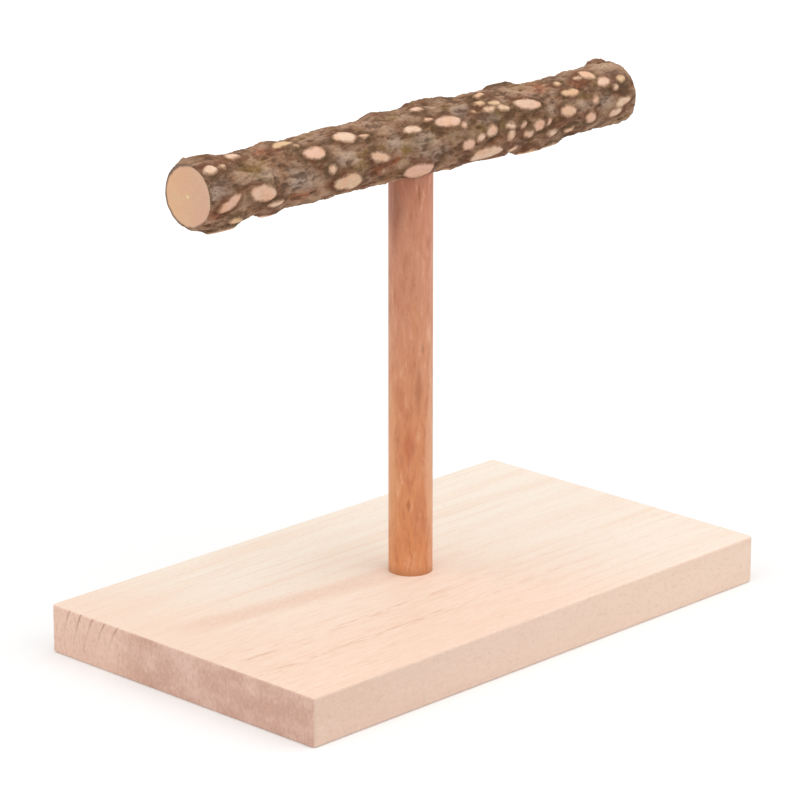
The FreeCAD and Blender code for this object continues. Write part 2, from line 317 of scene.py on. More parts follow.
class Shader:
    """One node material, grown by short calls. A value that is a socket is linked, any other is set."""

    def __init__(self, name):
        self.material = bpy.data.materials.new(name)
        self.material.use_nodes = True
        self.tree = self.material.node_tree
        self.tree.nodes.clear()
        self.surface = self.tree.nodes.new("ShaderNodeBsdfPrincipled")
        output = self.tree.nodes.new("ShaderNodeOutputMaterial")
        self.tree.links.new(self.surface.outputs["BSDF"], output.inputs["Surface"])

    def put(self, socket, value):
        if isinstance(value, bpy.types.NodeSocket):
            self.tree.links.new(value, socket)
        else:
            socket.default_value = value

    def node(self, kind, inputs, **settings):
        made = self.tree.nodes.new(kind)
        for name, value in settings.items():
            setattr(made, name, value)
        for name, value in inputs.items():
            self.put(made.inputs[name], value)
        return made

    def calc(self, operation, *values):
        inputs = dict(enumerate(values))
        return self.node("ShaderNodeMath", inputs, operation=operation).outputs[0]

    def mix(self, factor, first, second):
        inputs = {0: factor, 6: first, 7: second}
        return self.node("ShaderNodeMix", inputs, data_type="RGBA").outputs[2]

    def step(self, value, low, high, start=0.0, end=1.0):
        """A smooth step of a value, from start at low to end at high."""
        inputs = {0: value, 1: low, 2: high, 3: start, 4: end}
        return self.node("ShaderNodeMapRange", inputs, interpolation_type="SMOOTHSTEP").outputs[0]

    def layers(self, colour, rows):
        """Lays colours over a colour. Each row has a value, the two ends of a smooth step of it, how much
        of the row's colour shows from the second end on, and that colour."""
        for value, start, end, strength, shade in rows:
            colour = self.mix(self.step(value, start, end, 0.0, strength), colour, srgb(*shade))
        return colour

    def bell(self, value, middle, inner, outer):
        """One near a middle value, and nothing beyond an outer distance from it."""
        away = self.calc("ABSOLUTE", self.calc("SUBTRACT", value, middle))
        return self.step(away, inner, outer, 1.0, 0.0)

    def both(self, first, second):
        return self.calc("MULTIPLY", first, second)

    def place(self, *scale):
        """Places on the piece in millimetres, stretched by a scale for each axis."""
        where = self.node("ShaderNodeTexCoord", {}).outputs["Object"]
        size = Vector(scale) / MM
        return self.node("ShaderNodeMapping", {"Vector": where, "Scale": size}).outputs[0]

    def axes(self, vector):
        return self.node("ShaderNodeSeparateXYZ", {0: vector}).outputs

    def facing(self, axis):
        """How squarely a surface faces along one axis, either way."""
        normal = self.node("ShaderNodeTexCoord", {}).outputs["Normal"]
        return self.calc("ABSOLUTE", self.axes(normal)[axis])

    def noise(self, vector, detail=4.0, roughness=0.55, distortion=0.0):
        inputs = {"Vector": vector, "Scale": 1.0, "Detail": detail, "Roughness": roughness}
        inputs["Distortion"] = distortion
        return self.node("ShaderNodeTexNoise", inputs).outputs[0]

    def cells(self, vector):
        return self.node("ShaderNodeTexVoronoi", {"Vector": vector, "Scale": 1.0}).outputs["Distance"]

    def attribute(self, name):
        return self.node("ShaderNodeAttribute", {}, attribute_name=name).outputs["Fac"]

    def bump(self, height, depth, strength=1.0):
        inputs = {"Height": height, "Distance": depth * MM, "Strength": strength}
        return self.node("ShaderNodeBump", inputs).outputs[0]

    def finish(self, **values):
        for name, value in values.items():
            self.put(self.surface.inputs[name.replace("_", " ")], value)
        return self.material


def mesh_object(name, points, faces):
    """A new mesh object from points in millimetres."""
    mesh = bpy.data.meshes.new(name)
    mesh.from_pydata((np.asarray(points) * MM).tolist(), [], [tuple(face) for face in faces])
    mesh.update()
    made = bpy.data.objects.new(name, mesh)
    bpy.context.scene.collection.objects.link(made)
    return made


def node_box(node):
    """The lowest and highest corners of a solid, in millimetres."""
    low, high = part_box(node)
    return np.array(low) / MM, np.array(high) / MM


def node_radius(node):
    """The radius of an upright turned solid."""
    low, high = node_box(node)
    return (high[0] - low[0]) / 2


def node_points(node):
    """A solid's points, in millimetres."""
    return np.array([v.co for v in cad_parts[node].data.vertices]) / MM


# Studio


def make_camera():
    """The photo's camera."""
    azimuth, elevation = math.radians(CAMERA_AZIMUTH), math.radians(CAMERA_ELEVATION)
    right = Vector((math.cos(azimuth), math.sin(azimuth), 0))
    flat = math.cos(elevation)
    back = Vector((math.sin(azimuth) * flat, -math.cos(azimuth) * flat, math.sin(elevation)))
    up = back.cross(right)
    data = bpy.data.cameras.new("camera")
    data.sensor_width = SENSOR_WIDTH
    data.lens = CAMERA_FOCAL_PX / PICTURE_PX * SENSOR_WIDTH
    camera = bpy.data.objects.new("camera", data)
    turn = Matrix((right, up, back)).transposed().to_4x4()
    place = back * CAMERA_DISTANCE - right * ORIGIN_RIGHT - up * ORIGIN_UP
    camera.matrix_world = Matrix.Translation(place * MM) @ turn
    bpy.context.scene.collection.objects.link(camera)
    bpy.context.scene.camera = camera


def make_world():
    """Even light all round, which the camera and polished surfaces see as a white backdrop."""
    world = bpy.data.worlds.new("studio")
    world.use_nodes = True
    bpy.context.scene.world = world
    tree = world.node_tree
    tree.nodes.clear()
    seen = tree.nodes.new("ShaderNodeLightPath").outputs
    directly = tree.nodes.new("ShaderNodeMath")
    mirrored = tree.nodes.new("ShaderNodeMath")
    for step, first, second in (
        (mirrored, seen["Is Glossy Ray"], seen["Is Transmission Ray"]),
        (directly, seen["Is Camera Ray"], mirrored.outputs[0]),
    ):
        step.operation = "MAXIMUM"
        tree.links.new(first, step.inputs[0])
        tree.links.new(second, step.inputs[1])
    light, backdrop = (tree.nodes.new("ShaderNodeBackground") for _ in range(2))
    light.inputs["Color"].default_value = (1, 1, 1, 1)
    light.inputs["Strength"].default_value = AMBIENT
    backdrop.inputs["Color"].default_value = (1, 1, 1, 1)
    backdrop.inputs["Strength"].default_value = 1.0
    choose = tree.nodes.new("ShaderNodeMixShader")
    output = tree.nodes.new("ShaderNodeOutputWorld")
    tree.links.new(directly.outputs[0], choose.inputs[0])
    tree.links.new(light.outputs[0], choose.inputs[1])
    tree.links.new(backdrop.outputs[0], choose.inputs[2])
    tree.links.new(choose.outputs[0], output.inputs["Surface"])


def make_lamp(name, power, size, place):
    """A large soft lamp that faces the frame's origin."""
    data = bpy.data.lights.new(name, "AREA")
    data.size = size * MM
    data.energy = power
    lamp = bpy.data.objects.new(name, data)
    lamp.location = Vector(place) * MM
    lamp.rotation_euler = (-lamp.location).to_track_quat("-Z", "Y").to_euler()
    bpy.context.scene.collection.objects.link(lamp)


def make_floor():
    """The pale floor, which isn't part of the object. A glow, weaker near the object, makes it white and
    leaves the shadow."""
    half = FLOOR_SIZE / 2
    corners = [(-half, -half), (half, -half), (half, half), (-half, half)]
    floor = mesh_object("floor", [(x, y, -FLOOR_DROP) for x, y in corners], [(0, 1, 2, 3)])
    s = Shader("floor_white")
    seen = s.node("ShaderNodeLightPath", {}).outputs
    mirrored = s.calc("MAXIMUM", seen["Is Glossy Ray"], seen["Is Transmission Ray"])
    away = s.node("ShaderNodeVectorMath", {0: s.place(1, 1, 1)}, operation="LENGTH").outputs["Value"]
    glow = s.step(away, *FLOOR_GLOW_REACH, FLOOR_GLOW_NEAR, FLOOR_GLOW_FAR)
    glow = s.both(s.calc("MAXIMUM", seen["Is Camera Ray"], mirrored), glow)
    floor.data.materials.append(s.finish(
        Base_Color=srgb(*FLOOR_COLOUR), Roughness=0.9,
        Emission_Color=(1, 1, 1, 1), Emission_Strength=glow,
    ))


# Woods


def pine():
    """Pale pine: growth rings about a pith under the board, faint on its top and dark on its end."""
    s = Shader("pine_wood")
    x, y, z = s.axes(s.place(1, 1, 1))
    bend = s.calc("SUBTRACT", s.noise(s.place(0.009, 0.012, 0.012), detail=2.0), 0.5)
    bend = s.both(s.both(bend, 14.0), s.step(x, -115.0, -40.0))
    across = s.calc("SUBTRACT", s.calc("ADD", y, bend), PITH[0])
    above = s.calc("SUBTRACT", z, PITH[1])
    radius = s.calc("SQRT", s.calc("ADD", s.calc("POWER", across, 2.0), s.calc("POWER", above, 2.0)))
    ring = s.calc("ADD", s.calc("DIVIDE", radius, RING_WIDTH), RING_START)
    late = s.calc("FRACT", ring)
    line = s.both(s.step(late, 0.70, 0.90), s.step(late, 0.93, 1.0, 1.0, 0.0))
    thin = s.both(s.step(late, 0.76, 0.91), s.step(late, 0.92, 1.0, 1.0, 0.0))

    fibre = s.noise(s.place(0.03, 1.5, 1.5), detail=4.0, roughness=0.65)
    streak = s.noise(s.place(0.008, 0.13, 0.13), detail=3.0)
    speck = s.noise(s.place(0.55, 0.9, 0.9), detail=3.0, roughness=0.7)
    dash = s.noise(s.place(0.11, 0.85, 0.85), detail=4.0, roughness=0.65)
    front = s.both(s.step(y, 30.0, -30.0, 0.25, 1.0), s.step(x, 70.0, -30.0, 0.35, 1.0))
    here = s.step(s.noise(s.place(0.015, 0.05, 0.05), detail=2.0), 0.42, 0.66, 0.05, 0.30)
    # Painted shadow: a soft darker band along the grain left of the post, where the post and the branch
    # cast their shadow
    drift = s.calc("ADD", y, s.both(x, 0.12))
    shadow_band = s.both(s.bell(drift, 0.6, 1.0, 9.0), s.both(s.step(x, -2.0, -30.0), s.step(x, -113.0, -84.0)))
    wander = s.both(s.calc("SUBTRACT", s.noise(s.place(0.03, 0.0, 0.0), detail=2.0), 0.5), 4.0)
    row = s.calc("ADD", y, wander)
    rows = s.calc("MAXIMUM", s.bell(row, -24.0, 0.3, 2.0), s.bell(row, -38.5, 0.4, 2.6))
    rows = s.both(rows, s.step(x, 80.0, -30.0, 0.1, 1.0))

    # The top grows paler towards the back and the right: partly the wood's own tone, partly painted light
    # that lifts the soft shadow which the branch and the post cast there
    top = s.mix(s.step(y, -66.0, 50.0), srgb(251, 218, 196), srgb(255, 241, 224))
    top = s.layers(top, [
        (x, -20.0, 90.0, 0.8, (255, 242, 226)),
        (x, -50.0, -112.0, 0.7, (250, 219, 197)),
        (streak, 0.42, 0.70, 0.35, (251, 216, 191)),
    ])
    top = s.mix(s.both(line, here), top, srgb(243, 203, 174))
    top = s.layers(top, [
        (fibre, 0.52, 0.80, 0.45, (238, 198, 170)),
        (fibre, 0.46, 0.22, 0.35, (255, 242, 229)),
        (speck, 0.50, 0.74, 0.28, (236, 194, 166)),
    ])
    top = s.mix(s.both(s.step(dash, 0.50, 0.74, 0.0, 0.50), front), top, srgb(236, 190, 158))
    top = s.mix(s.both(s.step(dash, 0.47, 0.26, 0.0, 0.50), front), top, srgb(255, 238, 222))
    top = s.mix(s.both(s.step(dash, 0.44, 0.64, 0.0, 0.54), rows), top, srgb(226, 180, 148))
    # Painted shadow of the post and the branch, in the band left of the post
    top = s.mix(s.both(shadow_band, s.step(speck, 0.35, 0.65, 0.34, 0.58)), top, srgb(236, 193, 167))

    side = s.mix(s.step(x, -110.0, 110.0), srgb(246, 214, 194), srgb(255, 226, 204))
    side = s.layers(side, [
        (streak, 0.40, 0.70, 0.5, (238, 204, 182)),
        (speck, 0.50, 0.74, 0.38, (224, 186, 162)),
        (speck, 0.48, 0.26, 0.40, (255, 232, 216)),
    ])

    cloud = s.noise(s.place(0.05, 0.075, 0.11), detail=4.0, roughness=0.6)
    pores = s.noise(s.place(0.4, 0.75, 0.55), detail=4.0, roughness=0.7)
    slant = s.noise(s.place(0.1, 0.55, 0.20), detail=3.0, distortion=0.4)
    lines = s.both(s.both(thin, s.step(y, 27.0, 31.0)), s.step(y, 62.0, 58.5))
    strength = s.calc("ADD", s.step(z, 3.0, 15.0, 0.05, 0.22), s.step(z, 13.5, 16.5, 0.0, 0.34))
    lines = s.both(lines, strength)
    end = s.mix(s.step(cloud, 0.36, 0.66), srgb(221, 176, 156), srgb(240, 201, 183))
    end = s.layers(end, [
        (y, 14.0, 40.0, 0.75, (254, 216, 193)),
        (slant, 0.52, 0.72, 0.42, (222, 172, 150)),
        (pores, 0.46, 0.74, 0.46, (202, 148, 126)),
        (pores, 0.50, 0.24, 0.60, (250, 214, 196)),
    ])
    end = s.mix(lines, end, srgb(162, 106, 92))

    is_end = s.step(s.facing(0), 0.45, 0.85)
    is_side = s.step(s.facing(1), 0.45, 0.85)
    colour = s.mix(is_end, s.mix(is_side, top, side), end)
    height = s.calc("ADD", fibre, s.both(line, 0.3))
    height = s.calc("ADD", height, s.both(s.both(pores, is_end), 1.2))
    rough = s.step(fibre, 0.2, 0.8, 0.52, 0.68)
    return s.finish(Base_Color=colour, Roughness=rough, Normal=s.bump(height, 0.08, 0.5))


def beech():
    """Reddish beech: long grain up the post, mottling, short flecks and a few figures of other tones.
    Painted shade darkens its top under the branch and its foot, and a painted highlight runs along its
    two outlines.
    """
    s = Shader("beech_wood")
    x, y, z = s.axes(s.place(1, 1, 1))
    fibre = s.noise(s.place(1.3, 1.3, 0.06), detail=5.0, roughness=0.7)
    blotch = s.noise(s.place(0.16, 0.16, 0.05), detail=4.0, roughness=0.6, distortion=0.8)
    mottle = s.noise(s.place(0.42, 0.42, 0.10), detail=5.0, roughness=0.68, distortion=0.4)
    fleck = s.cells(s.place(1.1, 1.1, 0.24))
    fleck_here = s.step(s.noise(s.place(0.30, 0.30, 0.07), detail=2.0), 0.46, 0.68)
    fleck = s.both(s.step(fleck, 0.32, 0.08), fleck_here)

    colour = s.mix(s.step(z, 25.0, 150.0), srgb(225, 149, 97), srgb(219, 151, 119))
    colour = s.layers(colour, [
        # Painted shade: darker towards the top of the post, where the branch shades it
        (z, 130.0, 172.0, 0.7, (200, 128, 98)),
        (z, 152.0, 169.0, 0.5, (172, 100, 70)),
        (blotch, 0.50, 0.70, 0.6, (204, 126, 90)),
        (blotch, 0.46, 0.26, 0.6, (238, 178, 144)),
        (mottle, 0.50, 0.74, 0.65, (188, 110, 76)),
        (mottle, 0.48, 0.28, 0.60, (244, 186, 150)),
        (fibre, 0.52, 0.78, 0.40, (184, 108, 76)),
    ])
    colour = s.mix(s.both(fleck, 0.34), colour, srgb(140, 74, 50))
    right = s.calc("ADD", s.both(x, FIGURE_RIGHT[0]), s.both(y, FIGURE_RIGHT[1]))
    ahead = s.step(s.calc("ADD", x, y), 2.0, -2.0)
    ragged = s.both(s.calc("SUBTRACT", mottle, 0.5), 1.6)
    for middle, place, half_height, half_width, strength, stain_or_light in FIGURES_AND_PAINTED_LIGHT:
        up = s.calc("DIVIDE", s.calc("SUBTRACT", z, middle), half_height)
        across = s.calc("DIVIDE", s.calc("SUBTRACT", right, place), half_width)
        away = s.calc("ADD", s.calc("ABSOLUTE", up), s.calc("ABSOLUTE", across))
        figure_or_light = s.step(s.calc("ADD", away, ragged), 1.1, 0.2, 0.0, strength)
        colour = s.mix(s.both(figure_or_light, ahead), colour, srgb(*stain_or_light))
    # Painted shade: a darker band at the post's foot, where it meets the board
    colour = s.mix(s.step(z, 22.0, 17.5, 0.0, 0.6), colour, srgb(180, 118, 74))
    colour = s.mix(s.step(s.facing(2), 0.6, 0.9), colour, srgb(196, 136, 100))
    height = s.calc("SUBTRACT", fibre, s.both(fleck, 0.8))
    rough = s.step(fibre, 0.2, 0.8, 0.42, 0.58)
    return s.finish(Base_Color=colour, Roughness=rough, Normal=s.bump(height, 0.05, 0.45))


def bark():
    """Bark in brown, grey and olive, dark collars round the knobs, pale sanded faces, and painted shade
    and highlight over the bark's relief.
    """
    s = Shader("bark_and_knobs")
    edge = s.attribute("knob")
    tint = s.attribute("tint")
    relief = s.attribute("relief")
    ragged = s.calc("SUBTRACT", s.noise(s.place(0.7, 0.7, 0.7), detail=4.0, roughness=0.65), 0.5)
    uneven = s.calc("SUBTRACT", s.noise(s.place(0.26, 0.30, 0.30), detail=2.0), 0.5)
    edge = s.calc("ADD", edge, s.both(ragged, 2.0))
    edge = s.calc("ADD", edge, s.both(uneven, 2.2))
    sanded = s.step(edge, -0.95, 0.75)

    patch = s.noise(s.place(0.06, 0.11, 0.11), detail=4.0, roughness=0.6, distortion=0.4)
    moss = s.noise(s.place(0.065, 0.12, 0.12), detail=4.0, distortion=0.7)
    rust = s.noise(s.place(0.07, 0.11, 0.11), detail=4.0, distortion=0.5)
    thread = s.noise(s.place(0.26, 0.60, 0.60), detail=5.0, roughness=0.7)
    speck = s.noise(s.place(0.8, 1.1, 1.1), detail=3.0, roughness=0.7)
    tone = s.noise(s.place(0.085, 0.19, 0.19), detail=2.0)
    grey = s.calc("ADD", s.attribute("cool"), s.both(s.calc("SUBTRACT", patch, 0.5), 2.2))
    red = s.calc("ADD", s.attribute("warm"), s.both(s.calc("SUBTRACT", rust, 0.5), 2.2))

    colour = s.mix(s.step(patch, 0.38, 0.62), srgb(146, 104, 74), srgb(170, 134, 107))
    colour = s.layers(colour, [
        (moss, 0.52, 0.68, 0.85, (136, 106, 54)),
        (grey, 0.10, 1.10, 0.75, (180, 158, 141)),
        (red, 0.10, 1.20, 0.85, (158, 90, 56)),
        (tone, 0.52, 0.74, 0.60, (204, 167, 139)),
        (tone, 0.48, 0.28, 0.60, (72, 46, 30)),
        (thread, 0.49, 0.72, 0.85, (84, 54, 32)),
        (thread, 0.47, 0.24, 0.75, (202, 172, 148)),
        (speck, 0.54, 0.74, 0.68, (74, 46, 26)),
        # Painted shade in the hollows of the bark's relief, and a painted highlight on its crests
        (relief, -0.05, -0.45, 0.62, (76, 48, 26)),
        (relief, 0.05, 0.45, 0.40, (198, 166, 138)),
    ])
    collar = s.both(s.step(edge, -5.2, -0.4), s.step(moss, 0.36, 0.64, 0.92, 0.40))
    collar_colour = s.mix(s.step(rust, 0.44, 0.60), srgb(86, 60, 34), srgb(106, 60, 36))
    collar_colour = s.mix(s.step(thread, 0.52, 0.28, 0.0, 0.45), collar_colour, srgb(150, 112, 84))
    colour = s.mix(collar, colour, collar_colour)

    grain = s.noise(s.place(0.30, 0.8, 0.8), detail=4.0, roughness=0.6)
    flush = s.noise(s.place(0.16, 0.22, 0.22), detail=2.0)
    face = s.mix(s.step(tint, 0.10, 0.50), srgb(235, 188, 164), srgb(237, 203, 175))
    face = s.layers(face, [
        (tint, 0.55, 0.95, 1.0, (226, 190, 144)),
        (flush, 0.44, 0.66, 0.65, (236, 180, 142)),
        (grain, 0.42, 0.72, 0.46, (208, 162, 130)),
        (edge, 1.1, 0.1, 0.60, (190, 146, 114)),
    ])
    colour = s.mix(sanded, colour, face)

    rough = s.step(sanded, 0.0, 1.0, 0.80, 0.56)
    height = s.calc("ADD", s.both(thread, 0.8), s.both(speck, 0.6))
    height = s.both(height, s.step(sanded, 0.0, 1.0, 1.0, 0.10))
    return s.finish(
        Base_Color=colour, Roughness=rough, Specular_IOR_Level=0.3, Normal=s.bump(height, 0.26, 0.7)
    )


def sawn_end():
    """A sawn end of the branch: tan wood, faint rings and saw marks, a pale pith and a rim of bark."""
    s = Shader("sawn_end")
    depth = s.attribute("depth")
    heart = s.attribute("heart")
    ring = s.calc("ADD", s.both(heart, 0.42), s.noise(s.place(0.2, 0.25, 0.25)))
    ring = s.calc("FRACT", ring)
    saw = s.noise(s.place(1.0, 0.25, 2.2), detail=3.0)
    cloud = s.noise(s.place(0.1, 0.12, 0.12), detail=3.0)
    y = s.axes(s.place(1, 1, 1))[1]
    colour = s.mix(s.step(y, -9.0, 9.0), srgb(228, 181, 152), srgb(238, 188, 145))
    colour = s.layers(colour, [
        (cloud, 0.42, 0.70, 0.6, (234, 197, 161)),
        (ring, 0.45, 1.0, 0.06, (206, 152, 114)),
        (saw, 0.46, 0.76, 0.22, (214, 158, 124)),
        (cloud, 0.46, 0.26, 0.4, (234, 180, 152)),
        (heart, 1.0, 0.35, 0.8, (248, 222, 170)),
    ])
    rim = s.calc("ADD", depth, s.both(s.calc("SUBTRACT", cloud, 0.5), 1.8))
    rim = s.calc("ADD", rim, s.step(y, 6.0, -8.0, 0.0, 0.75))
    colour = s.mix(s.step(rim, 1.10, 0.30), colour, srgb(130, 102, 84))
    height = s.calc("ADD", saw, s.both(ring, 0.3))
    return s.finish(Base_Color=colour, Roughness=0.66, Normal=s.bump(height, 0.10, 0.5))


def bored_wood():
    """Freshly bored wood in the branch's socket."""
    s = Shader("bored_wood")
    fibre = s.noise(s.place(0.12, 1.2, 1.2), detail=4.0)
    turns = s.noise(s.place(0.3, 0.3, 2.4), detail=2.0)
    colour = s.mix(s.step(fibre, 0.35, 0.70), srgb(232, 190, 152), srgb(196, 146, 108))
    return s.finish(Base_Color=colour, Roughness=0.7, Normal=s.bump(turns, 0.1, 0.5))


def metal(name, pale, dark, rough):
    """A plated or turned metal with fine scratches."""
    s = Shader(name)
    cloud = s.noise(s.place(0.5, 0.5, 0.5), detail=3.0)
    scratch = s.noise(s.place(1.0, 1.0, 9.0), detail=3.0)
    colour = s.mix(s.step(cloud, 0.3, 0.7), pale, dark)
    gloss = s.step(scratch, 0.3, 0.7, rough - 0.06, rough + 0.08)
    return s.finish(Base_Color=colour, Metallic=1.0, Roughness=gloss, Normal=s.bump(scratch, 0.01, 0.4))


def wear(node, material):
    """Puts one material on a solid."""
    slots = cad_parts[node].data.materials
    slots.clear()
    slots.append(material)


# Branch


class Knob:
    """One old prickle, sanded flat. Its face lies in a plane at a depth from the branch's axis."""

    def __init__(self, place, clock, depth, half_length, half_width, turn):
        self.place = place
        self.clock = clock
        self.depth = depth
        self.half_length = half_length
        self.half_width = half_width
        self.turn = turn


def branch_axis():
    """The middle of the branch's axis, read from the rim of its near end and its reach along X."""
    points = node_points("perch_branch")
    low, high = points.min(0), points.max(0)
    rim = points[points[:, 0] < low[0] + SAME_PLANE]
    middle = (rim.min(0) + rim.max(0)) / 2
    return np.array(((low[0] + high[0]) / 2, middle[1], middle[2]))


def log_radius(axis, places):
    """The bark's radius between the knobs, at places along the branch."""
    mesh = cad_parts["perch_branch"].data
    tree = BVHTree.FromPolygons([v.co / MM for v in mesh.vertices], [p.vertices for p in mesh.polygons])
    found = []
    for x in np.clip(places, places[0] + RAY_INSET, places[-1] - RAY_INSET):
        middle = Vector((x, axis[1], axis[2]))
        depths = []
        for clock in np.linspace(*RAY_CLOCKS, RAY_COUNT):
            outward = Vector((0, -math.sin(clock), math.cos(clock)))
            hit = tree.ray_cast(middle + outward * RAY_START, -outward)[0]
            depths.append((hit - middle).length)
        found.append(np.percentile(depths, RAY_PERCENTILE))
    return np.array(found)


def sanded_faces(axis, places, bark_radius):
    """Gathers the solid's triangles that are sanded faces: flat along the branch, square to its radius
    and above the bark. Returns (clock, depth, points) for each face."""
    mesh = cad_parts["perch_branch"].data
    points = node_points("perch_branch") - axis
    found = []
    for face in mesh.polygons:
        normal = np.array(face.normal)
        corners = points[list(face.vertices)]
        middle = corners.mean(0)
        depth = float(normal @ middle)
        square = normal[1:] @ middle[1:] > FACE_RADIAL_LEAST * np.linalg.norm(middle[1:])
        stand = depth - np.interp(middle[0] + axis[0], places, bark_radius)
        if abs(normal[0]) > FACE_TILT_MOST or not square or stand < FACE_STAND_LEAST:
            continue
        clock = math.atan2(-normal[1], normal[2])
        for known in found:
            near = abs(known[2][0][0, 0] - middle[0]) < SAME_PLACE
            if near and abs(known[0] - clock) < SAME_CLOCK and abs(known[1] - depth) < SAME_DEPTH:
                known[2].append(corners)
                break
        else:
            found.append((clock, depth, [corners]))
    return [(clock, depth, np.concatenate(corners)) for clock, depth, corners in found]


def read_knobs(axis, places, bark_radius):
    """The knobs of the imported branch, measured on their sanded faces."""
    knobs = []
    for clock, depth, corners in sanded_faces(axis, places, bark_radius):
        tangent = np.array((0, -math.cos(clock), -math.sin(clock)))
        spots = np.unique(np.stack([corners[:, 0], corners @ tangent], 1).round(3), axis=0)
        middle = (spots.max(0) + spots.min(0)) / 2
        about = spots - spots.mean(0)
        long_way = np.linalg.eigh(about.T @ about)[1][:, 1]
        long_way = long_way * np.sign(long_way[0] + NEVER_ZERO)
        short_way = np.array((-long_way[1], long_way[0]))
        half_length = np.abs((spots - middle) @ long_way).max()
        half_width = np.abs((spots - middle) @ short_way).max()
        turn = math.atan2(long_way[1], long_way[0])
        knobs.append(Knob(middle[0] + axis[0], clock, depth, half_length, half_width, turn))
    return knobs


def small_knobs(places, bark_radius):
    """The prickles that only the looks have."""
    for place, clock, length, width, turn in SMALL_KNOBS:
        depth = np.interp(place, places, bark_radius) + SMALL_STAND
        yield Knob(place, math.radians(clock), depth, length / 2, width / 2, math.radians(turn))


def raise_knob(knob, random, grid, tell):
    """Raises one knob on the branch's grid: a flat face with a natural outline and rounded edges, and
    flanks that flare out into the bark. Tells the distance in from the nearest face's outline, and its
    tint."""
    wobble = random.uniform(-1, 1, KNOB_DRAWS)
    shade = TINT_MIDDLE + noise.noise(Vector((knob.place / TINT_REACH, knob.clock, 2.0)))
    along = grid["x"] - knob.place
    spread = (grid["clock"] - knob.clock + math.pi) % (2 * math.pi) - math.pi
    near = (np.abs(along) < knob.half_length + KNOB_REACH) & (np.abs(spread) < KNOB_SPREAD)
    along, spread = along[near], spread[near]
    side = knob.depth * np.tan(spread)
    u = along * math.cos(knob.turn) + side * math.sin(knob.turn)
    v = side * math.cos(knob.turn) - along * math.sin(knob.turn)
    share = np.hypot(u / knob.half_length, v / knob.half_width) + NEVER_ZERO
    way = np.arctan2(v / knob.half_width, u / knob.half_length)
    outline = 1 + FACE_WAVES[0] * wobble[0] * np.cos(2 * way + WAVE_TURN * wobble[1])
    outline += FACE_WAVES[1] * wobble[2] * np.cos(3 * way + WAVE_TURN * wobble[3])
    outline += FACE_WAVES[2] * np.cos(5 * way + WAVE_TURN * wobble[4])
    inside = (outline - share) * np.hypot(u, v) / share

    flank = FLANK_LEAST + FLANK_SHARE * knob.half_width
    flank = flank * (1 + FLANK_ALONG * along ** 2 / (along ** 2 + side ** 2 + NEVER_ZERO))
    uneven = FLANK_WAVES[0] * np.cos(way + WAVE_TURN * wobble[5])
    flank = flank * (1 + uneven + FLANK_WAVES[1] * np.cos(3 * way + WAVE_TURN * wobble[6]))
    out = (np.hypot(inside, FACE_ROUND) - inside) / 2
    fall = np.clip(1 - out / flank, 0, 1) ** 2
    widest = math.atan2(knob.half_width * FACE_SPREAD, knob.depth)
    plane = knob.depth / np.cos(np.minimum(np.abs(spread), widest))
    grid["lift"][near] += np.maximum((plane - grid["bark"][near]) * fall, 0) ** BLEND_POWER
    first, last = BARK_LEFT_CLOCKS
    if knob.place > BARK_LEFT_FROM and first < math.degrees(knob.clock) < last:
        inside = np.minimum(inside, BARK_LEFT)
    nearer = inside > tell["knob"][near]
    tell["knob"][near] = np.where(nearer, inside, tell["knob"][near])
    tell["tint"][near] = np.where(nearer, shade, tell["tint"][near])


def waves(points, along, around, seed):
    """Smooth noise over places on the branch, longer along it than around it."""
    scaled = points / np.array((along, around, around)) + seed * WAVE_SHIFT
    return np.array([noise.fractal(point, *OCTAVES) for point in scaled.tolist()])


def bark_relief(places):
    """The height of the bark's swells, ridges and grit at places on the branch."""
    ridges = 1 - RIDGE_SHARPNESS * np.abs(waves(places, RIDGE[1], RIDGE[2], 1))
    swells = waves(places, SWELL[1], SWELL[2], 2)
    lumps = waves(places, LUMP[1], LUMP[2], 4)
    grit = waves(places, GRIT[1], GRIT[2], 3)
    fine = RIDGE[0] * (ridges - RIDGE_MIDDLE)
    return SWELL[0] * swells + LUMP[0] * lumps + fine + GRIT[0] * grit


def mound(x, clock, place, angle, half_length, half_width):
    """A bell over the branch's grid, 1 at its middle."""
    spread = (clock - math.radians(angle) + math.pi) % (2 * math.pi) - math.pi
    away = np.hypot((x - place) / half_length, spread * MEAN_RADIUS / half_width)
    return np.exp(-away ** 2)


def patches(table, x, clock):
    """How deep each place on the branch's grid lies in a table's patches, from 0 outside to 1."""
    return np.max([mound(x, clock, *row) for row in table], axis=0)


def swellings(x, clock):
    """The height of the outline's swellings and hollows over the branch's grid."""
    return sum(height * mound(x, clock, *middle) for *middle, height in SWELLINGS)


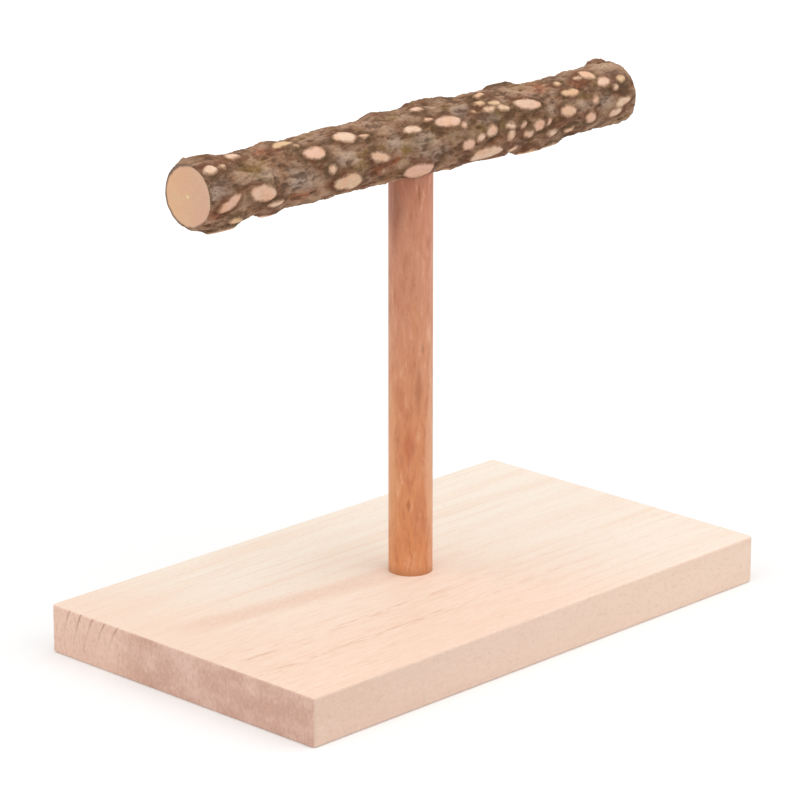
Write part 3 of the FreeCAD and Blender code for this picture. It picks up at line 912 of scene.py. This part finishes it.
def make_branch():
    """The branch: a fine mesh with bark relief and sanded knobs, sawn ends and the bores."""
    low, high = node_box("perch_branch")
    axis = branch_axis()
    rows = int(round((high[0] - low[0]) / GRID_ALONG)) + 1
    places = np.linspace(low[0], high[0], rows)
    clocks = np.linspace(0, 2 * math.pi, GRID_AROUND, endpoint=False)
    log = log_radius(axis, places)
    x, clock = np.meshgrid(places, clocks, indexing="ij")
    bark_radius = np.repeat(log[:, None], GRID_AROUND, 1)
    grid = {"x": x, "clock": clock, "bark": bark_radius, "lift": np.zeros_like(x)}
    tell = {"knob": np.full_like(x, FAR_FROM_KNOBS), "tint": np.zeros_like(x)}
    random = np.random.default_rng(KNOB_SEED)
    for knob in [*read_knobs(axis, places, log), *small_knobs(places, log)]:
        raise_knob(knob, random, grid, tell)

    inward = np.clip(np.minimum(x - places[0], places[-1] - x) / END_REACH, 0, 1)
    inward = inward * (2 - inward)
    radius = bark_radius + grid["lift"] ** (1 / BLEND_POWER) * inward + swellings(x, clock)
    points = np.stack([x, -radius * np.sin(clock), radius * np.cos(clock)], -1)
    relief = bark_relief(points.reshape(-1, 3)).reshape(x.shape)
    rough = np.clip(-tell["knob"] / RELIEF_FROM_FACE, 0, 1)
    radius += relief * rough * (RELIEF_AT_ENDS + (1 - RELIEF_AT_ENDS) * inward)
    tell["relief"] = relief
    tell["cool"] = patches(COOL_PATCHES, x, clock)
    tell["warm"] = patches(WARM_PATCHES, x, clock)
    branch = tube_mesh(axis, places, clocks, radius)
    cut_bores(branch)
    dress_branch(branch, axis, places, tell)


def tube_faces(rings, columns):
    """The faces of a closed tube: quads between its rings, and a fan from each end ring to a middle
    point. The two middle points come after the rings' points."""
    a = np.arange(columns)
    b = np.roll(a, -1)
    pairs = list(zip(a.tolist(), b.tolist()))
    faces = []
    for i in range(rings - 1):
        low, high = i * columns, (i + 1) * columns
        faces += np.stack([low + a, low + b, high + b, high + a], 1).tolist()
    last = (rings - 1) * columns
    near, far = rings * columns, rings * columns + 1
    faces += [(near, q, p) for p, q in pairs]
    faces += [(far, last + p, last + q) for p, q in pairs]
    return faces


def tube_mesh(axis, places, clocks, radius):
    """A closed tube with flat ends through the radius at each place and clock angle."""
    columns = len(clocks)
    shares = np.arange(1, CAP_RINGS) / CAP_RINGS
    rings = [(places[0], radius[0] * share) for share in shares]
    rings += list(zip(places, radius))
    rings += [(places[-1], radius[-1] * share) for share in shares[::-1]]
    circle = np.stack([np.zeros(columns), -np.sin(clocks), np.cos(clocks)], 1)
    points = [circle * r[:, None] + (x, axis[1], axis[2]) for x, r in rings]
    points += [[(places[0], axis[1], axis[2])], [(places[-1], axis[1], axis[2])]]
    return mesh_object("branch_with_bark", np.concatenate(points), tube_faces(len(rings), columns))


def turned_mesh(name, rings, sides):
    """A closed mesh about the post's axis through rings, each of a height and a radius, or of a height
    and a radius for each side."""
    angles = 2 * math.pi * np.arange(sides) / sides
    circle = np.stack([np.cos(angles), np.sin(angles)], 1)
    points = []
    for height, radius in rings:
        ring = circle * np.broadcast_to(radius, sides)[:, None]
        points.append(np.column_stack([ring, np.full(sides, height)]))
    points += [[(0, 0, rings[0][0])], [(0, 0, rings[-1][0])]]
    return mesh_object(name, np.concatenate(points), tube_faces(len(rings), sides))


def bore_top():
    """The height of the roof of the stud's bore in the branch."""
    return max(node_box("perch_stud")[1][2], node_box("perch_insert")[1][2]) + STUD_BORE_SPARE


def cut_bores(branch):
    """Bores the post's socket, the insert's hole and the stud's hole in the branch."""
    socket_floor = node_box("post")[1][2]
    mouth = node_box("perch_branch")[0][2] - MOUTH_SPARE
    insert_top = node_box("perch_insert")[1][2]
    socket_radius = node_radius("post") + SOCKET_CLEARANCE
    insert_radius = node_radius("perch_insert") + BORE_CLEARANCE
    cutter = turned_mesh("bores", [
        (mouth, socket_radius), (socket_floor, socket_radius), (socket_floor, insert_radius),
        (insert_top, insert_radius), (insert_top, STUD_BORE_RADIUS), (bore_top(), STUD_BORE_RADIUS),
    ], BORE_SIDES)
    cut = branch.modifiers.new("bores", "BOOLEAN")
    cut.operation = "DIFFERENCE"
    cut.solver = "MANIFOLD"
    cut.object = cutter
    solid = branch.data
    graph = bpy.context.evaluated_depsgraph_get()
    branch.data = bpy.data.meshes.new_from_object(branch.evaluated_get(graph))
    branch.modifiers.clear()
    bpy.data.meshes.remove(solid)
    bpy.data.objects.remove(cutter)
    split_faces(branch.data)


def split_faces(mesh):
    """Splits a mesh into triangles, and drops the pairs that lie back to back along the bores' rims."""
    work = bmesh.new()
    work.from_mesh(mesh)
    bmesh.ops.triangulate(work, faces=work.faces)
    found = {}
    for face in work.faces:
        found.setdefault(frozenset(face.verts), []).append(face)
    doubled = [face for faces in found.values() if len(faces) > 1 for face in faces]
    bmesh.ops.delete(work, geom=doubled, context="FACES")
    work.to_mesh(mesh)
    work.free()


def give(mesh, name, values):
    """Stores one number for each point of a mesh, for its materials to read."""
    mesh.attributes.new(name, "FLOAT", "POINT").data.foreach_set("value", values.astype(np.float32))


def dress_branch(branch, axis, places, tell):
    """Gives the branch its materials, and the values that they read at each point."""
    mesh = branch.data
    points = np.array([v.co for v in mesh.vertices]) / MM
    y, z = points[:, 1] - axis[1], points[:, 2] - axis[2]
    radius = np.hypot(y, z)
    rows, columns = tell["knob"].shape
    i = (points[:, 0] - places[0]) / (places[-1] - places[0]) * (rows - 1)
    i = np.clip(np.rint(i).astype(int), 0, rows - 1)
    j = np.rint(np.arctan2(-y, z) / (2 * math.pi) * columns).astype(int) % columns
    for name, grid in tell.items():
        give(mesh, name, grid[i, j])
    rim = np.zeros(len(points))
    for place in (places[0], places[-1]):
        at_end = np.abs(points[:, 0] - place) < SAME_PLANE
        outer = np.zeros(columns)
        np.maximum.at(outer, j[at_end], radius[at_end])
        rim[at_end] = outer[j[at_end]]
    give(mesh, "depth", rim - radius)
    give(mesh, "heart", radius)

    mesh.materials.clear()
    for material in (bark(), sawn_end(), bored_wood()):
        mesh.materials.append(material)
    starts = np.array([face.loop_start for face in mesh.polygons])
    corners = points[[loop.vertex_index for loop in mesh.loops]]
    low_x = np.minimum.reduceat(corners[:, 0], starts)
    high_x = np.maximum.reduceat(corners[:, 0], starts)
    high_z = np.maximum.reduceat(corners[:, 2], starts)
    from_post = np.maximum.reduceat(np.hypot(corners[:, 0], corners[:, 1]), starts)
    sawn = (high_x < places[0] + SAME_PLANE) | (low_x > places[-1] - SAME_PLANE)
    widest = node_radius("post") + SOCKET_CLEARANCE + BORE_MARGIN_ROUND
    bored = (from_post < widest) & (high_z < bore_top() + BORE_MARGIN_UP)
    mesh.polygons.foreach_set("material_index", np.where(sawn, 1, np.where(bored, 2, 0)))
    mesh.polygons.foreach_set("use_smooth", ~(sawn | bored))
    lay_out(mesh, axis, places, corners, starts, sawn, bored)
    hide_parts("perch_branch")
    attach(branch, "perch")


def round_places(turns, face, starts):
    """Angles about an axis for each corner, 0 to a full turn, with no face split by the join."""
    turns = turns % (2 * math.pi)
    reach = np.maximum.reduceat(turns, starts) - np.minimum.reduceat(turns, starts)
    return turns + 2 * math.pi * ((reach[face] > math.pi) & (turns < math.pi))


def lay_out(mesh, axis, places, corners, starts, sawn, bored):
    """Lays the branch out flat: its bark as two strips, its ends as discs, and its bores as strips and
    rings."""
    counts = np.diff(np.append(starts, len(corners)))
    face = np.repeat(np.arange(len(starts)), counts)
    x, y, z = (corners - (places[0], axis[1], axis[2])).T
    half = (places[-1] - places[0]) / 2
    strip = (np.add.reduceat(x, starts) / counts > half)[face]
    clock = round_places(np.arctan2(-y, z), face, starts)
    u = MAP_MARGIN + (x - strip * half) * MAP_SCALE
    v = MAP_MARGIN + clock * MEAN_RADIUS * MAP_SCALE + strip * MAP_STRIP

    far = (x > half).astype(int)
    end_u, end_v = np.array(MAP_ENDS)[far].T
    u = np.where(sawn[face], end_u + y * MAP_SCALE, u)
    v = np.where(sawn[face], end_v + z * MAP_SCALE, v)

    level = np.maximum.reduceat(z, starts) - np.minimum.reduceat(z, starts) < SAME_PLANE
    floors, walls = bored[face] & level[face], bored[face] & ~level[face]
    about = round_places(np.arctan2(corners[:, 1], corners[:, 0]), face, starts)
    wall_u = MAP_WALLS[0] + about / (2 * math.pi) * MAP_WALLS[2]
    wall_v = MAP_WALLS[1] + (z - z[walls].min()) * MAP_SCALE
    u = np.where(floors, MAP_FLOORS[0] + corners[:, 0] * MAP_SCALE, np.where(walls, wall_u, u))
    v = np.where(floors, MAP_FLOORS[1] + corners[:, 1] * MAP_SCALE, np.where(walls, wall_v, v))
    flat = np.stack([u, v], 1).astype(np.float32)
    mesh.uv_layers.new(name="OFBake").data.foreach_set("uv", flat.ravel())


# Stud


def make_stud(material):
    """The hanger bolt with real threads: a coarse pointed one in the post and a fine one above it."""
    low, high = node_box("perch_stud")
    head = node_box("post")[1][2]
    outer = node_radius("perch_stud") - STUD_EASE
    angles = np.arange(STUD_SIDES) / STUD_SIDES
    rings = []
    for height in np.arange(low[2], high[2] + STUD_STEP / 2, STUD_STEP):
        height = min(height, high[2])
        if height < head - WAIST_LENGTH:
            cut = np.abs((height / WOOD_PITCH - angles) % 1 - 0.5) * 2
            radius = outer - WOOD_DEPTH * np.clip(WOOD_FLANK * (1 - cut), 0, 1)
            radius = radius * min(1, (height - low[2] + POINT_START) / POINT_LENGTH)
        elif height < head:
            radius = np.full(STUD_SIDES, WAIST_RADIUS)
        else:
            cut = np.abs((height / MACHINE_PITCH - angles) % 1 - 0.5) * 2
            radius = np.minimum(outer - MACHINE_DEPTH * cut, outer - TIP_CHAMFER + (high[2] - height))
        rings.append((height, radius))
    stud = turned_mesh("hanger_bolt", rings, STUD_SIDES)
    stud.data.materials.append(material)
    stud.data.polygons.foreach_set("use_smooth", [True] * len(stud.data.polygons))
    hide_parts("perch_stud")
    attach(stud, "stand")


make_camera()
make_world()
make_lamp("key", KEY_POWER, KEY_SIZE, KEY_PLACE)
make_lamp("fill", FILL_POWER, FILL_SIZE, FILL_PLACE)
make_floor()
wear("base_board", pine())
wear("post", beech())
steel = metal("zinc_plate", srgb(214, 214, 208), srgb(186, 188, 186), 0.34)
brass = metal("turned_brass", srgb(214, 176, 104), srgb(184, 142, 76), 0.3)
for name in ("base_bolt", "base_washer"):
    wear(name, steel)
for name in ("post_insert", "perch_insert"):
    wear(name, brass)
make_branch()
make_stud(steel)
bpy.context.scene.view_settings.view_transform = "Standard"
